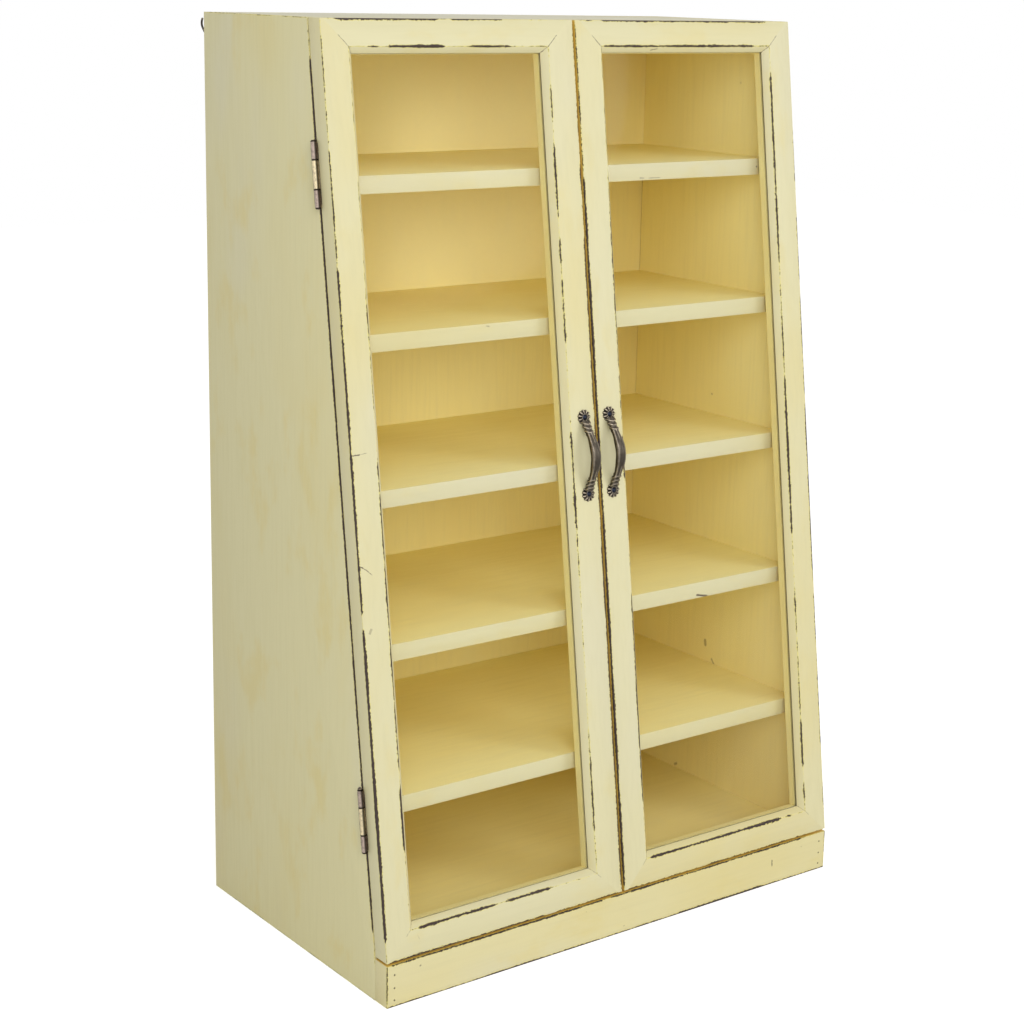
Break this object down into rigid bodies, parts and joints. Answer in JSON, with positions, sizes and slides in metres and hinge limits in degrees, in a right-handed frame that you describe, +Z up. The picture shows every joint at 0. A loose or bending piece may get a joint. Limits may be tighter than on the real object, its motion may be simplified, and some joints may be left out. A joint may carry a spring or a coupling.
{
  "type": "display cabinet",
  "caption": "Slant-fronted glazed display cabinet: painted wooden case with fixed shelves, a plinth, two hinged glass doors with cast bow pulls, and wire hanging loops.",
  "frame": {"origin": "on the floor, at the middle of the box round the whole cabinet at rest, doors closed", "axes": "+X to the viewer's right across the front, +Y from the doors to the back, +Z up"},
  "size_m": [0.6118, 0.364, 0.955],
  "materials": {
    "cream_paint": "cream milk paint over wood, rubbed through to a dark undercoat along the edges",
    "shelf_paint": "thin yellow cream paint over wood",
    "inside_paint": "thin ochre cream paint over wood",
    "glass": "clear 2 mm window glass",
    "cast_metal": "antique bronze casting, dark in the hollows",
    "hinge_brass": "aged brass",
    "nail_steel": "dull steel",
    "loop_wire": "dark steel wire"
  },
  "bodies": {
    "case": {"left_side_panel": "cream_paint", "right_side_panel": "cream_paint", "top_panel": "cream_paint", "bottom_panel": "inside_paint", "back_panel": "inside_paint", "plinth": "cream_paint", "shelf_1": "shelf_paint", "shelf_2": "shelf_paint", "shelf_3": "shelf_paint", "shelf_4": "shelf_paint", "shelf_5": "shelf_paint", "board_nails": "nail_steel", "plinth_nails": "nail_steel", "back_panel_pins": "nail_steel", "left_hanging_loop": "loop_wire", "right_hanging_loop": "loop_wire", "left_upper_case_leaf": "hinge_brass", "left_lower_case_leaf": "hinge_brass", "left_upper_hinge_pin": "hinge_brass", "left_lower_hinge_pin": "hinge_brass", "left_case_leaf_screws": "hinge_brass", "right_upper_case_leaf": "hinge_brass", "right_lower_case_leaf": "hinge_brass", "right_upper_hinge_pin": "hinge_brass", "right_lower_hinge_pin": "hinge_brass", "right_case_leaf_screws": "hinge_brass"},
    "left_door": {"left_door_hinge_stile": "cream_paint", "left_door_meeting_stile": "cream_paint", "left_door_top_rail": "cream_paint", "left_door_bottom_rail": "cream_paint", "left_door_glass": "glass", "left_door_beads": "cream_paint", "left_door_pull": "cast_metal", "left_door_pull_screws": "cast_metal", "left_door_leaf_screws": "hinge_brass", "left_door_corner_nails": "nail_steel", "left_upper_door_leaf": "hinge_brass", "left_lower_door_leaf": "hinge_brass"},
    "right_door": {"right_door_hinge_stile": "cream_paint", "right_door_meeting_stile": "cream_paint", "right_door_top_rail": "cream_paint", "right_door_bottom_rail": "cream_paint", "right_door_glass": "glass", "right_door_beads": "cream_paint", "right_door_pull": "cast_metal", "right_door_pull_screws": "cast_metal", "right_door_leaf_screws": "hinge_brass", "right_door_corner_nails": "nail_steel", "right_upper_door_leaf": "hinge_brass", "right_lower_door_leaf": "hinge_brass"}
  },
  "joints": [
    {"name": "left_door_hinge", "type": "hinge", "parent": "case", "child": "left_door", "pos_m": [-0.303, -0.09845, 0.49706], "axis": [0, -0.135, -0.9908], "range_deg": [0, 180]},
    {"name": "right_door_hinge", "type": "hinge", "parent": "case", "child": "right_door", "pos_m": [0.303, -0.09845, 0.49706], "axis": [0, 0.135, 0.9908], "range_deg": [0, 180]}
  ]
}
